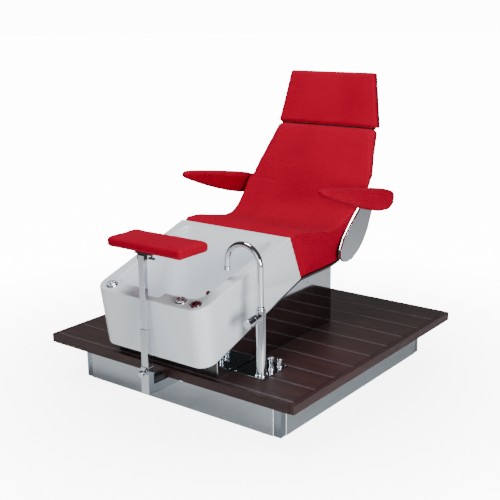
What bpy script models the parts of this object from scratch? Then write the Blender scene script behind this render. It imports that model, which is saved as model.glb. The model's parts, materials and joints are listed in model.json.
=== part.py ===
"""Pedicure spa chair: a lounge seat and a foot basin on a wooden platform with a steel plinth.

Units are metres and +Z is up. The sitter faces -Y and the basin is in front of the seat.
The origin is on the floor, under the centre of the object's bounding box.
"""

import math

import bmesh
import bpy
from mathutils import Matrix, Vector

OBJECT_NAME = "pedicure_spa_chair"

# Platform
DECK_Y = 0.065                # the deck's centre lies this far behind the origin
DECK_WIDTH = 1.300
DECK_DEPTH = 1.275
DECK_TOP = 0.203
DECK_THICK = 0.039
EDGE_BOARD = 0.020
GROOVE_WIDTH = 0.014
GROOVE_DEPTH = 0.0025
GROOVE_PITCH = 0.1385
GROOVE_FIRST = 0.0265         # from the front edge to the middle of the first groove
GROOVE_COUNT = 9
PLINTH_INSET_SIDE = 0.120
PLINTH_INSET_FRONT = 0.088
PLINTH_INSET_REAR = 0.067
PLINTH_SHEET = 0.003
CORNER_POST = 0.035
FLOOR_GAP = 0.003
FRAME_BEAM = 0.040
GAP = 0.0004                  # clearance between pieces that touch

# Pedestal
PEDESTAL_HALF = 0.267
PEDESTAL_REAR = DECK_Y + 0.213
PEDESTAL_FRONT = DECK_Y - 0.600
PEDESTAL_SHEET = 0.004
PEDESTAL_TOP = 0.4600

# Basin: side-view corners (y, z) and half-widths
JOINT_TOP = (DECK_Y - 0.148, 0.675)
JOINT_LOW = (DECK_Y - 0.030, 0.466)
BASIN_FRONT_TOP = (DECK_Y - 0.712, 0.503)
BASIN_FRONT_LOW = (DECK_Y - 0.675, 0.256)
BASIN_HALF = {"joint_top": 0.297, "joint_low": 0.272, "front_top": 0.284, "front_low": 0.283}
BASIN_CORNER_R = 0.062
SHELF_EDGE = DECK_Y - 0.644   # where the control shelf drops into the well
CONTROLS = {"drain_knob": -0.213, "air_knob": 0.155, "lit_button": 0.230}
CONTROL_Y = DECK_Y - 0.674
SHELF_GAP_HALF = 0.050        # half-width of the opening between the two shelves
WELL_FLOOR_FRONT = (DECK_Y - 0.640, 0.290)
WELL_FLOOR_REAR = (DECK_Y - 0.400, 0.385)
DRAIN_Y = DECK_Y - 0.560

# Tap
TAP_X = 0.392
TAP_Y = DECK_Y - 0.485
TAP_BODY_R = 0.0195
TAP_BODY_TOP = 0.478
SPOUT_R = 0.012
SPOUT_BEND_R = 0.080
SPOUT_BEND_Z = 0.640
SPOUT_END_Z = 0.622
HANDLE_TILT = math.radians(10.0)
HANDLE_Z = 0.453
HANDLE_R = 0.0185

# Armrests
ARM_INNER = 0.356
ARM_PIVOT = (DECK_Y + 0.448, 0.722)
BRACKET_X = 0.310
BRACKET_THICK = 0.010
ARM_PIN_R = 0.008

# Headrest
HEAD_FOOT = (DECK_Y + 0.5745, 1.0420)
HEAD_TOP = (DECK_Y + 0.618, 1.2940)
HEAD_HALF_FOOT = 0.281
HEAD_HALF_TOP = 0.235
HEAD_CUSHION = 0.026
HEAD_SHELL = 0.007
HINGE_REACH = 0.008           # from the headrest shell's back to the hinge axis
HINGE_EYE = 0.0065

# Leg rest
LEG_X = 0.018                 # the post stands this far right of the middle
PAD_X = 0.042
POST_FRONT = DECK_Y - 0.7465
OUTER_TUBE = (0.040, 0.030)
MIDDLE_TUBE = (0.0345, 0.0245)
UPPER_TUBE = (0.029, 0.019)
TUBE_WALL = 0.0024
POST_LOW = 0.126
OUTER_TOP = 0.236
MIDDLE_LOW = 0.192
MIDDLE_TOP = 0.392
UPPER_LOW = 0.280
UPPER_TOP = 0.6885
ARM_HALF = 0.018
ARM_LOW = 0.1225
ARM_TOP = 0.1605
ARM_REAR = DECK_Y - 0.280
TILT_Z = 0.681                # height of the pad's tilt axis
PLATE_LOW = 0.6944
PAD_WIDTH = 0.385
PAD_DEPTH = 0.168
PAD_THICK = 0.042
PAD_LOW = 0.7010
PAD_FRONT = DECK_Y - 0.758

ROUND = 24                    # sides of a round piece


# ---------------------------------------------------------------- scene and materials

def clear_scene():
    for obj in list(bpy.data.objects):
        bpy.data.objects.remove(obj, do_unlink=True)


def make_collection(name):
    collection = bpy.data.collections.new(name)
    bpy.context.scene.collection.children.link(collection)
    return collection


clear_scene()
PARTS = make_collection(OBJECT_NAME)
CUTTERS = make_collection("cutters")

FINISHES = {
    "wenge": ((0.060, 0.032, 0.030), 0.45, 0.0),
    "wenge_edge": ((0.075, 0.034, 0.030), 0.45, 0.0),
    "steel_panel": ((0.60, 0.62, 0.64), 0.22, 1.0),
    "polished_steel": ((0.62, 0.64, 0.66), 0.08, 1.0),
    "frame_steel": ((0.10, 0.10, 0.11), 0.50, 0.6),
    "zinc_steel": ((0.50, 0.51, 0.52), 0.45, 1.0),
    "basin_white": ((0.84, 0.86, 0.87), 0.20, 0.0),
    "chrome": ((0.80, 0.81, 0.83), 0.05, 1.0),
    "red_lens": ((0.28, 0.00, 0.02), 0.10, 0.0),
    "black_plastic": ((0.02, 0.02, 0.02), 0.45, 0.0),
    "grey_plastic": ((0.30, 0.31, 0.32), 0.50, 0.0),
    "black_shell": ((0.015, 0.014, 0.015), 0.35, 0.0),
    "red_fabric": ((0.52, 0.012, 0.035), 0.75, 0.0),
    "hose": ((0.45, 0.46, 0.47), 0.40, 0.5),
}


def finish(name, kind):
    colour, roughness, metallic = FINISHES[kind]
    material = bpy.data.materials.new(f"{name}_{kind}")
    material.use_nodes = True
    shader = material.node_tree.nodes["Principled BSDF"]
    shader.inputs["Base Color"].default_value = (*colour, 1.0)
    shader.inputs["Roughness"].default_value = roughness
    shader.inputs["Metallic"].default_value = metallic
    return material


# ---------------------------------------------------------------- building blocks

def add_object(name, bm, kind=None, parent=None, collection=None):
    """Store bm as a named object; a parented piece keeps its mesh in world coordinates."""
    bmesh.ops.recalc_face_normals(bm, faces=bm.faces)
    mesh = bpy.data.meshes.new(name)
    bm.to_mesh(mesh)
    bm.free()
    obj = bpy.data.objects.new(name, mesh)
    (collection or PARTS).objects.link(obj)
    if kind:
        mesh.materials.append(finish(name, kind))
    if parent:
        obj.parent = parent
        obj.location = -parent.location
    return obj


def pivot(name, location):
    """An empty on a joint's axis, the parent of the pieces that move with it."""
    empty = bpy.data.objects.new(name, None)
    empty.location = location
    empty.empty_display_size = 0.03
    PARTS.objects.link(empty)
    return empty


def smooth(obj, angle=35.0):
    obj.data.shade_smooth()
    obj.data.set_sharp_from_angle(angle=math.radians(angle))
    return obj


def bevel(obj, width, segments=2):
    modifier = obj.modifiers.new("bevel", "BEVEL")
    modifier.width = width
    modifier.segments = segments
    modifier.limit_method = "ANGLE"
    modifier.angle_limit = math.radians(40.0)
    return obj


def as_cutter(obj):
    obj.hide_render = True
    obj.display_type = "WIRE"
    return obj


def cut(obj, *cutters):
    for cutter in cutters:
        modifier = obj.modifiers.new("cut", "BOOLEAN")
        modifier.operation = "DIFFERENCE"
        modifier.solver = "EXACT"
        modifier.object = as_cutter(cutter)
    return obj


def join(obj, *pieces):
    for piece in pieces:
        modifier = obj.modifiers.new("join", "BOOLEAN")
        modifier.operation = "UNION"
        modifier.solver = "EXACT"
        modifier.object = as_cutter(piece)
    return obj


def box_mesh(low, high):
    bm = bmesh.new()
    low, high = Vector(low), Vector(high)
    bmesh.ops.create_cube(bm, size=1.0, matrix=Matrix.LocRotScale((low + high) / 2, None, high - low))
    return bm


def box(name, low, high, kind, **place):
    return add_object(name, box_mesh(low, high), kind, **place)


def box_cutter(name, low, high):
    return add_object(name, box_mesh(low, high), collection=CUTTERS)


def along(direction):
    """The rotation that turns +Z to the given direction."""
    return Vector((0, 0, 1)).rotation_difference(Vector(direction)).to_matrix().to_4x4()


def cylinder_mesh(radius, start, direction, length, sides=ROUND, end_radius=None):
    bm = bmesh.new()
    direction = Vector(direction).normalized()
    centre = Vector(start) + direction * length / 2
    bmesh.ops.create_cone(
        bm, cap_ends=True, segments=sides, radius1=radius,
        radius2=radius if end_radius is None else end_radius, depth=length,
        matrix=Matrix.Translation(centre) @ along(direction))
    return bm


def cylinder(name, radius, start, direction, length, kind, sides=ROUND, end_radius=None, **place):
    bm = cylinder_mesh(radius, start, direction, length, sides, end_radius)
    return smooth(add_object(name, bm, kind, **place))


def turned(name, profile, base, direction, kind, sides=ROUND, parent=None):
    """A turned piece: profile holds (radius, height) from its top to its foot."""
    bm = bmesh.new()
    verts = [bm.verts.new((radius, 0, height)) for radius, height in profile]
    for first, second in zip(verts, verts[1:]):
        bm.edges.new((first, second))
    mesh = bpy.data.meshes.new(name)
    bm.to_mesh(mesh)
    bm.free()
    obj = bpy.data.objects.new(name, mesh)
    PARTS.objects.link(obj)
    mesh.materials.append(finish(name, kind))
    screw = obj.modifiers.new("turn", "SCREW")
    screw.steps = screw.render_steps = sides
    screw.use_merge_vertices = True
    screw.merge_threshold = 0.00005
    screw.use_smooth_shade = True
    place = Vector(base) - (parent.location if parent else Vector())
    obj.matrix_local = Matrix.Translation(place) @ along(direction)
    obj.parent = parent
    return obj


def outline_mesh(points, depth):
    """A flat outline of (y, z) points, extruded along +X from depth[0] to depth[1]."""
    bm = bmesh.new()
    face = bm.faces.new([bm.verts.new((depth[0], y, z)) for y, z in points])
    grown = bmesh.ops.extrude_face_region(bm, geom=[face])
    moved = [item for item in grown["geom"] if isinstance(item, bmesh.types.BMVert)]
    bmesh.ops.translate(bm, verts=moved, vec=(depth[1] - depth[0], 0, 0))
    return bm


def arc(centre, radius, start, end, count):
    """Points (y, z) on an arc, angles in degrees from +Y towards +Z."""
    points = []
    for step in range(count + 1):
        angle = math.radians(start + (end - start) * step / count)
        points.append((centre[0] + radius * math.cos(angle), centre[1] + radius * math.sin(angle)))
    return points


def loft_mesh(sections):
    """A closed solid through four-cornered sections; each is a list of four points in order."""
    bm = bmesh.new()
    rings = [[bm.verts.new(point) for point in section] for section in sections]
    for first, second in zip(rings, rings[1:]):
        for side in range(4):
            other = (side + 1) % 4
            bm.faces.new((first[side], first[other], second[other], second[side]))
    bm.faces.new(rings[0])
    bm.faces.new(list(reversed(rings[-1])))
    return bm


def sheet_sections(front, back):
    """Sections of a sheet that runs along two side-view lines of (y, z, half_width) points."""
    return [
        [(-fw, fy, fz), (fw, fy, fz), (bw, by, bz), (-bw, by, bz)]
        for (fy, fz, fw), (by, bz, bw) in zip(front, back)
    ]


def offset_line(line, distance):
    """Move each (y, z, half_width) point along the line's mean normal, to the right of its course."""
    moved = []
    for index, (y, z, half) in enumerate(line):
        before, after = line[max(index - 1, 0)], line[min(index + 1, len(line) - 1)]
        into = Vector((y - before[0], z - before[1]))
        out = Vector((after[0] - y, after[1] - z))
        course = (into.normalized() if into.length else out.normalized())
        course = course + (out.normalized() if out.length else course)
        normal = Vector((course.y, -course.x)).normalized()
        if into.length and out.length:
            half_angle = into.angle(out) / 2
            reach = distance / max(math.cos(half_angle), 0.5)
        else:
            reach = distance
        moved.append((y + normal.x * reach, z + normal.y * reach, half))
    return moved


def tube(name, points, radius, kind, sides=2, parent=None):
    curve = bpy.data.curves.new(name, "CURVE")
    curve.dimensions = "3D"
    curve.bevel_depth = radius
    curve.bevel_resolution = sides
    curve.use_fill_caps = True
    spline = curve.splines.new("POLY")
    spline.points.add(len(points) - 1)
    for point, place in zip(spline.points, points):
        point.co = (*place, 1.0)
    curve.materials.append(finish(name, kind))
    obj = bpy.data.objects.new(name, curve)
    PARTS.objects.link(obj)
    if parent:
        obj.parent = parent
        obj.location = -parent.location
    return obj


def smooth_route(corners, radius, steps=4):
    """A route through corner points, each corner rounded by a quadratic curve."""
    corners = [Vector(corner) for corner in corners]
    route = [corners[0]]
    for before, corner, after in zip(corners, corners[1:], corners[2:]):
        start = corner + (before - corner).normalized() * radius
        end = corner + (after - corner).normalized() * radius
        for step in range(steps + 1):
            t = step / steps
            route.append(start * (1 - t) ** 2 + corner * 2 * t * (1 - t) + end * t ** 2)
    route.append(corners[-1])
    return [tuple(point) for point in route]


# ---------------------------------------------------------------- platform

PLINTH_HALF = DECK_WIDTH / 2 - PLINTH_INSET_SIDE
PLINTH_FRONT = DECK_Y - DECK_DEPTH / 2 + PLINTH_INSET_FRONT
PLINTH_REAR = DECK_Y + DECK_DEPTH / 2 - PLINTH_INSET_REAR
DECK_FRONT = DECK_Y - DECK_DEPTH / 2
DECK_REAR = DECK_Y + DECK_DEPTH / 2
DECK_LOW = DECK_TOP - DECK_THICK
PLINTH_TOP = DECK_LOW - GAP


def chassis():
    """A ladder frame under the deck with a corner post at each corner of the plinth."""
    frame = box("chassis_frame", (-PLINTH_HALF, PLINTH_FRONT, PLINTH_TOP - FRAME_BEAM),
                (PLINTH_HALF, PLINTH_REAR, PLINTH_TOP), "frame_steel")
    low, high = PLINTH_TOP - 2 * FRAME_BEAM, PLINTH_TOP + FRAME_BEAM
    rails = [PLINTH_FRONT + 0.045, DECK_Y - 0.20, DECK_Y + 0.17, PLINTH_REAR - 0.045]
    windows = []
    for bay, (start, end) in enumerate(zip(rails, rails[1:])):
        for side in (-1, 1):
            inner, outer = sorted((side * 0.065, side * (PLINTH_HALF - 0.045)))
            windows.append(box_cutter(f"frame_window_{bay}_{side}", (inner, start + 0.02, low),
                                      (outer, end - 0.02, high)))
    windows.append(box_cutter("arm_channel", (LEG_X - 0.024, PLINTH_FRONT - 0.05, low),
                              (LEG_X + 0.024, DECK_Y - 0.24, high)))
    cut(frame, *windows)
    for side in (-1, 1):
        for y in (PLINTH_FRONT, PLINTH_REAR - CORNER_POST):
            x = side * (PLINTH_HALF - CORNER_POST / 2)
            post = box_cutter(f"post_{side}_{y:.2f}", (x - CORNER_POST / 2, y, FLOOR_GAP),
                              (x + CORNER_POST / 2, y + CORNER_POST, PLINTH_TOP - 0.001))
            join(frame, post)


def plinth_panels():
    low = FLOOR_GAP
    inner = PLINTH_HALF - CORNER_POST - GAP
    skirt = PLINTH_SHEET
    front = box("plinth_front", (-inner, PLINTH_FRONT - skirt - GAP, low),
                (inner, PLINTH_FRONT - GAP, PLINTH_TOP), "steel_panel")
    cut(front, box_cutter("arm_slot", (LEG_X - 0.024, PLINTH_FRONT - 0.02, 0.113),
                          (LEG_X + 0.024, PLINTH_FRONT + 0.02, 0.2)))
    box("plinth_rear", (-inner, PLINTH_REAR + GAP, low), (inner, PLINTH_REAR + GAP + skirt, PLINTH_TOP),
        "steel_panel")
    y_low, y_high = PLINTH_FRONT + CORNER_POST + GAP, PLINTH_REAR - CORNER_POST - GAP
    for name, side in (("plinth_left", -1), ("plinth_right", 1)):
        inside, outside = sorted((side * (PLINTH_HALF + GAP), side * (PLINTH_HALF + GAP + skirt)))
        box(name, (inside, y_low, low), (outside, y_high, PLINTH_TOP), "steel_panel")


def levelling_feet():
    foot = PLINTH_TOP - FRAME_BEAM - GAP
    profile = [(0, foot), (0.006, foot), (0.006, 0.016), (0.016, 0.012), (0.022, 0.004), (0.022, 0),
               (0, 0)]
    for end, y in (("front", PLINTH_FRONT + 0.022), ("rear", PLINTH_REAR - 0.022)):
        for side, x in (("left", -PLINTH_HALF + 0.085), ("right", PLINTH_HALF - 0.085)):
            turned(f"levelling_foot_{end}_{side}", profile, (x, y, 0), (0, 0, 1), "zinc_steel", 20)


def groove_middles():
    first = DECK_FRONT + GROOVE_FIRST
    return [first + GROOVE_PITCH * row for row in range(GROOVE_COUNT)]


def deck():
    half = DECK_WIDTH / 2 - EDGE_BOARD - GAP
    panel = box("deck_panel", (-half, DECK_FRONT, DECK_LOW), (half, DECK_REAR, DECK_TOP), "wenge")
    cutters = [
        box_cutter(f"groove_{row}", (-half - 0.01, y - GROOVE_WIDTH / 2, DECK_TOP - GROOVE_DEPTH),
                   (half + 0.01, y + GROOVE_WIDTH / 2, DECK_TOP + 0.01))
        for row, y in enumerate(groove_middles())
    ]
    cutters.append(box_cutter("tap_service_hole", (0.310, TAP_Y + 0.035, DECK_LOW - 0.01),
                              (0.412, TAP_Y + 0.125, DECK_TOP + 0.01)))
    cut(panel, *cutters)
    for name, side in (("deck_edge_left", -1), ("deck_edge_right", 1)):
        inside, outside = sorted((side * (DECK_WIDTH / 2 - EDGE_BOARD), side * DECK_WIDTH / 2))
        bevel(box(name, (inside, DECK_FRONT, DECK_LOW), (outside, DECK_REAR, DECK_TOP), "wenge_edge"),
              0.0015, 1)


# ---------------------------------------------------------------- pedestal

def under_basin(y, drop):
    """Height of a line that runs below the basin's floor by drop."""
    slope = (JOINT_LOW[1] - BASIN_FRONT_LOW[1]) / (JOINT_LOW[0] - BASIN_FRONT_LOW[0])
    return BASIN_FRONT_LOW[1] + slope * (y - BASIN_FRONT_LOW[0]) - drop


def pedestal():
    low = DECK_TOP + GAP
    front, rear = PEDESTAL_FRONT, PEDESTAL_REAR
    bend_y = JOINT_LOW[0]
    side_outline = [
        (front, low), (rear, low), (rear, PEDESTAL_TOP), (bend_y, PEDESTAL_TOP - 0.004),
        (front, under_basin(front, 0.010)),
    ]
    for name, x in (("pedestal_left", -PEDESTAL_HALF), ("pedestal_right", PEDESTAL_HALF - PEDESTAL_SHEET)):
        add_object(name, outline_mesh(side_outline, (x, x + PEDESTAL_SHEET)), "polished_steel")
    inner = PEDESTAL_HALF - PEDESTAL_SHEET - GAP
    box("pedestal_front", (-inner, front, low), (inner, front + PEDESTAL_SHEET, under_basin(front, 0.010)),
        "black_shell")
    box("pedestal_rear", (-inner, rear - PEDESTAL_SHEET, low), (inner, rear, PEDESTAL_TOP),
        "polished_steel")


def seat_support():
    """The welded tray on top of the pedestal that carries the seat shell."""
    inner = PEDESTAL_HALF - PEDESTAL_SHEET - 2 * GAP
    front, rear = JOINT_LOW[0] + 0.012, PEDESTAL_REAR - PEDESTAL_SHEET - GAP
    tray = box("seat_support_frame", (-inner, front, DECK_TOP + GAP), (inner, rear, 0.4515), "frame_steel")
    cut(tray,
        box_cutter("tray_bay", (-inner + 0.03, front + 0.03, DECK_TOP - 0.01),
                   (inner - 0.03, rear - 0.03, 0.50)),
        box_cutter("tray_side_way", (-inner - 0.01, front + 0.03, DECK_TOP - 0.01),
                   (inner + 0.01, rear - 0.03, 0.420)),
        box_cutter("tray_front_way", (-inner + 0.03, front - 0.01, DECK_TOP - 0.01),
                   (inner - 0.03, rear + 0.01, 0.420)))


# ---------------------------------------------------------------- basin and its fittings

def slab_between(front_top, front_low, rear_low, rear_top):
    """A six-faced block from four (y, z, half_width) edges."""
    sections = []
    for top, low in ((front_top, front_low), (rear_top, rear_low)):
        sections.append([(-top[2], top[0], top[1]), (top[2], top[0], top[1]),
                         (low[2], low[0], low[1]), (-low[2], low[0], low[1])])
    return loft_mesh(sections)


def bevel_upright_edges(bm, radius, segments, steep=0.55):
    """Round the edges of bm that run mostly up and down."""
    edges = [edge for edge in bm.edges
             if abs((edge.verts[0].co - edge.verts[1].co).normalized().z) > steep]
    bmesh.ops.bevel(bm, geom=edges, offset=radius, segments=segments, profile=0.5, affect="EDGES")


def rim_height(y):
    """Height of the basin's sloping top at y."""
    slope = (JOINT_TOP[1] - BASIN_FRONT_TOP[1]) / (JOINT_TOP[0] - BASIN_FRONT_TOP[0])
    return BASIN_FRONT_TOP[1] + slope * (y - BASIN_FRONT_TOP[0])


RIM_RISE, RIM_RUN = JOINT_TOP[1] - BASIN_FRONT_TOP[1], JOINT_TOP[0] - BASIN_FRONT_TOP[0]
RIM_NORMAL = Vector((0, -RIM_RISE, RIM_RUN)).normalized()


def basin():
    half = BASIN_HALF
    bm = slab_between((*BASIN_FRONT_TOP, half["front_top"]), (*BASIN_FRONT_LOW, half["front_low"]),
                      (JOINT_LOW[0] - GAP, JOINT_LOW[1], half["joint_low"]),
                      (JOINT_TOP[0] - GAP, JOINT_TOP[1], half["joint_top"]))
    front_edges = [edge for edge in bm.edges if all(vert.co.y < DECK_Y - 0.6 for vert in edge.verts)
                   and abs((edge.verts[0].co - edge.verts[1].co).normalized().z) > 0.5]
    bmesh.ops.bevel(bm, geom=front_edges, offset=BASIN_CORNER_R, segments=5, profile=0.5, affect="EDGES")
    obj = smooth(add_object("basin", bm, "basin_white"), 30.0)

    above = 0.16
    floor_front, floor_rear = WELL_FLOOR_FRONT, WELL_FLOOR_REAR
    shelf_top = (SHELF_EDGE - 0.004, rim_height(SHELF_EDGE) + above)
    lean = (JOINT_TOP[0] - 0.030 - floor_rear[0]) / (JOINT_TOP[1] - floor_rear[1])
    rear_top = (floor_rear[0] + lean * (JOINT_TOP[1] + above - floor_rear[1]), JOINT_TOP[1] + above)
    well = slab_between((*shelf_top, 0.236), (SHELF_EDGE + 0.002, floor_front[1], 0.205),
                        (*floor_rear, 0.215), (*rear_top, 0.272))
    bevel_upright_edges(well, 0.045, 4, 0.4)
    slot = box_mesh((-SHELF_GAP_HALF, BASIN_FRONT_TOP[0] + 0.030, rim_height(DECK_Y - 0.70) - 0.075),
                    (SHELF_GAP_HALF, SHELF_EDGE + 0.03, 0.70))
    cut(obj, as_cutter(smooth(add_object("well", well, collection=CUTTERS), 30.0)),
        add_object("shelf_slot", slot, collection=CUTTERS),
        add_object("drain_bore", cylinder_mesh(0.0245, (0, DRAIN_Y, 0.2), (0, 0, 1), 0.16),
                   collection=CUTTERS))
    for name, x in CONTROLS.items():
        bore = cylinder_mesh(0.0125, shelf_point(x) - RIM_NORMAL * 0.03, RIM_NORMAL, 0.06)
        cut(obj, add_object(f"bore_{name}", bore, collection=CUTTERS))


def shelf_point(x):
    return Vector((x, CONTROL_Y, rim_height(CONTROL_Y)))


def controls():
    """Two knobs and a lit button that stand on the shelf, each on a stem in its bore."""
    normal = RIM_NORMAL
    knob = [(0, 0.015), (0.015, 0.015), (0.0185, 0.012), (0.0205, 0.0008), (0.012, 0.0008),
            (0.012, -0.014), (0, -0.014)]
    for name in ("drain_knob", "air_knob"):
        base = shelf_point(CONTROLS[name])
        hub = pivot(f"{name}_axis", base)
        turned(name, knob, base, normal, "chrome", parent=hub)
    dome = [(0, 0.0125), (0.008, 0.0115), (0.0155, 0.0085), (0.0175, 0.0048), (0.0115, 0.0048),
            (0.0115, -0.014), (0, -0.014)]
    base = shelf_point(CONTROLS["lit_button"])
    turned("lit_button", dome, base, normal, "red_lens", parent=pivot("lit_button_axis", base))
    cover_y = DECK_Y - 0.580
    turned("overflow_cover", [(0, 0.017), (0.009, 0.017), (0.013, 0.013), (0.013, 0.0), (0, 0.0)],
           (0.2232, cover_y, rim_height(cover_y) - 0.014), (-0.997, 0, 0.08), "chrome")


def floor_height(y):
    slope = (WELL_FLOOR_REAR[1] - WELL_FLOOR_FRONT[1]) / (WELL_FLOOR_REAR[0] - SHELF_EDGE - 0.002)
    return WELL_FLOOR_FRONT[1] + slope * (y - SHELF_EDGE - 0.002)


def drain():
    """A collar in the floor bore, a plug that lifts in it, and the waste pipe below."""
    top = floor_height(DRAIN_Y) - 0.010
    ring = [(0.0175, top), (0.024, top), (0.024, top - 0.050), (0.0175, top - 0.050), (0.0175, top)]
    turned("drain_collar", ring, (0, DRAIN_Y, 0), (0, 0, 1), "chrome")
    plug = pivot("drain_plug_axis", (0, DRAIN_Y, top))
    turned("drain_plug", [(0, 0.004), (0.014, 0.004), (0.0165, 0.001), (0.0165, -0.006), (0.006, -0.008),
                          (0.006, -0.030), (0, -0.030)],
           (0, DRAIN_Y, top), (0, 0, 1), "chrome", parent=plug)
    start = top - 0.050 - GAP
    route = smooth_route([(0, DRAIN_Y, start), (0, DRAIN_Y, 0.2285), (0, DECK_Y + 0.06, 0.2255)], 0.018)
    tube("drain_pipe", route, 0.0195, "grey_plastic", 3)


def machinery():
    """The air blower and the control box stand on the deck inside the pedestal."""
    base = DECK_TOP + GAP
    turned("air_blower", [(0, 0.150), (0.048, 0.150), (0.056, 0.142), (0.056, 0.030), (0.072, 0.030),
                          (0.072, 0.0), (0, 0.0)],
           (0.115, DECK_Y + 0.085, base), (0, 0, 1), "black_plastic")
    bevel(box("control_box", (-0.205, DECK_Y + 0.015, base), (-0.075, DECK_Y + 0.155, base + 0.095),
              "grey_plastic"), 0.004, 1)


# ---------------------------------------------------------------- tap

def tap():
    low = DECK_TOP + GAP
    plate_top = low + 0.003
    bevel(box("tap_plate", (0.2725, TAP_Y - 0.030, low), (0.4225, TAP_Y + 0.140, plate_top),
              "polished_steel"), 0.0008, 1)
    z = plate_top + GAP
    body = [(0, TAP_BODY_TOP), (TAP_BODY_R - 0.002, TAP_BODY_TOP), (TAP_BODY_R, TAP_BODY_TOP - 0.002),
            (TAP_BODY_R, z + 0.008), (TAP_BODY_R + 0.006, z + 0.006), (TAP_BODY_R + 0.006, z), (0, z)]
    tap_body = turned("tap_body", body, (TAP_X, TAP_Y, 0), (0, 0, 1), "chrome", 28)
    lever = Vector((0, -math.cos(HANDLE_TILT), -math.sin(HANDLE_TILT)))
    start = Vector((TAP_X, TAP_Y, HANDLE_Z)) + lever * (TAP_BODY_R + 0.0025)
    handle = pivot("mixer_handle_axis", start)
    turned("mixer_handle", [(0, 0.066), (HANDLE_R - 0.002, 0.066), (HANDLE_R, 0.064), (HANDLE_R, 0.030),
                            (HANDLE_R - 0.0015, 0.029), (HANDLE_R - 0.0015, 0.027), (HANDLE_R, 0.026),
                            (HANDLE_R, 0.0125), (0, 0.0125)],
           start, lever, "chrome", parent=handle)
    socket = cylinder_mesh(0.0155, Vector((TAP_X, TAP_Y, HANDLE_Z)), lever, TAP_BODY_R + 0.0145)
    join(tap_body, add_object("handle_stub", socket, collection=CUTTERS))

    swivel = pivot("spout_axis", (TAP_X, TAP_Y, TAP_BODY_TOP))
    centre_x = TAP_X - SPOUT_BEND_R
    route = [(TAP_X, TAP_Y, TAP_BODY_TOP + GAP), (TAP_X, TAP_Y, TAP_BODY_TOP + 0.006),
             (TAP_X, TAP_Y, (TAP_BODY_TOP + SPOUT_BEND_Z) / 2)]
    for step in range(17):
        angle = math.pi * step / 16
        route.append((centre_x + SPOUT_BEND_R * math.cos(angle), TAP_Y,
                      SPOUT_BEND_Z + SPOUT_BEND_R * math.sin(angle)))
    route.append((TAP_X - 2 * SPOUT_BEND_R, TAP_Y, SPOUT_END_Z))
    tube("spout", route, SPOUT_R, "chrome", 4, parent=swivel)
    turned("aerator", [(0.008, 0), (0.0135, 0), (0.0135, -0.015), (0.0100, -0.015), (0.0085, -0.004),
                       (0.008, -0.004), (0.008, 0)],
           (TAP_X - 2 * SPOUT_BEND_R, TAP_Y, SPOUT_END_Z - GAP), (0, 0, 1), "chrome", parent=swivel)


VALVES = {"cold": (0.392, TAP_Y + 0.066, 0.047), "hot": (0.400, TAP_Y + 0.112, 0.028)}


def valves():
    """Two stop valves on the tap plate, each with a turning knob, and their supply hoses."""
    plate_top = DECK_TOP + 0.003 + 2 * GAP
    for name, (x, y, height) in VALVES.items():
        top = plate_top + height
        turned(f"valve_{name}", [(0, top), (0.0085, top), (0.0085, plate_top + 0.006),
                                 (0.0125, plate_top + 0.005), (0.0125, plate_top), (0, plate_top)],
               (x, y, 0), (0, 0, 1), "chrome", 18)
        knob = pivot(f"valve_knob_{name}_axis", (x, y, top))
        turned(f"valve_knob_{name}", [(0, 0.013), (0.011, 0.013), (0.0135, 0.010), (0.0135, 0.003),
                                      (0.0105, GAP), (0, GAP)],
               (x, y, top), (0, 0, 1), "chrome", 18, parent=knob)
    hose_top = DECK_TOP - 0.001
    for name, x, y, lane in (("cold", 0.352, TAP_Y + 0.058, 0.075), ("hot", 0.385, TAP_Y + 0.098, 0.045)):
        route = smooth_route([(x, y, hose_top), (x, y, lane), (x, PLINTH_REAR - 0.003, lane)], 0.035)
        tube(f"hose_{name}", route, 0.007, "hose", 2)


# ---------------------------------------------------------------- seat and headrest

# Side-view lines from the basin joint to the headrest: (y behind the deck's centre, z, half-width)
SEAT_TOP_LINE = [
    (-0.1480, 0.6750, 0.297), (-0.1180, 0.6865, 0.297), (-0.0600, 0.6850, 0.297), (0.0500, 0.6630, 0.298),
    (0.1500, 0.6450, 0.300), (0.2050, 0.6470, 0.303), (0.2550, 0.6660, 0.311), (0.3030, 0.6960, 0.323),
    (0.3500, 0.7330, 0.338), (0.4000, 0.7800, 0.350), (0.4590, 0.8570, 0.328), (0.5150, 0.9470, 0.304),
    (0.5710, 1.0370, 0.281),
]
SEAT_LOW_LINE = [
    (-0.0300, 0.4660, 0.272), (0.0000, 0.4665, 0.272), (0.0600, 0.4680, 0.273), (0.1300, 0.4690, 0.274),
    (0.2000, 0.4720, 0.276), (0.2620, 0.4830, 0.278), (0.2450, 0.5350, 0.286), (0.2640, 0.5900, 0.292),
    (0.3120, 0.6450, 0.295), (0.3880, 0.7350, 0.306), (0.4840, 0.8400, 0.312), (0.5400, 0.9300, 0.287),
    (0.5960, 1.0200, 0.268),
]
# The cushion's last station, past the shell's end and close under the headrest
SEAT_TOP_END = (0.5732, 1.0403, 0.2803)
SEAT_LOW_END = (0.5983, 1.0345, 0.2670)
SHELL_THICK = 0.009


def placed(line, lift=0.0):
    return [(DECK_Y + y, z + lift, half) for y, z, half in line]


def seat():
    top, low = placed(SEAT_TOP_LINE), placed(SEAT_LOW_LINE)
    sections = sheet_sections(top + placed([SEAT_TOP_END]), low + placed([SEAT_LOW_END]))
    smooth(add_object("seat_cushion", loft_mesh(sections), "red_fabric"), 40.0)
    narrow = [(y, z, half - 0.003) for y, z, half in low]
    inside = offset_line(narrow, GAP)
    outside = offset_line(narrow, GAP + SHELL_THICK)
    smooth(add_object("seat_shell", loft_mesh(sheet_sections(inside, outside)), "black_shell"), 40.0)


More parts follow.
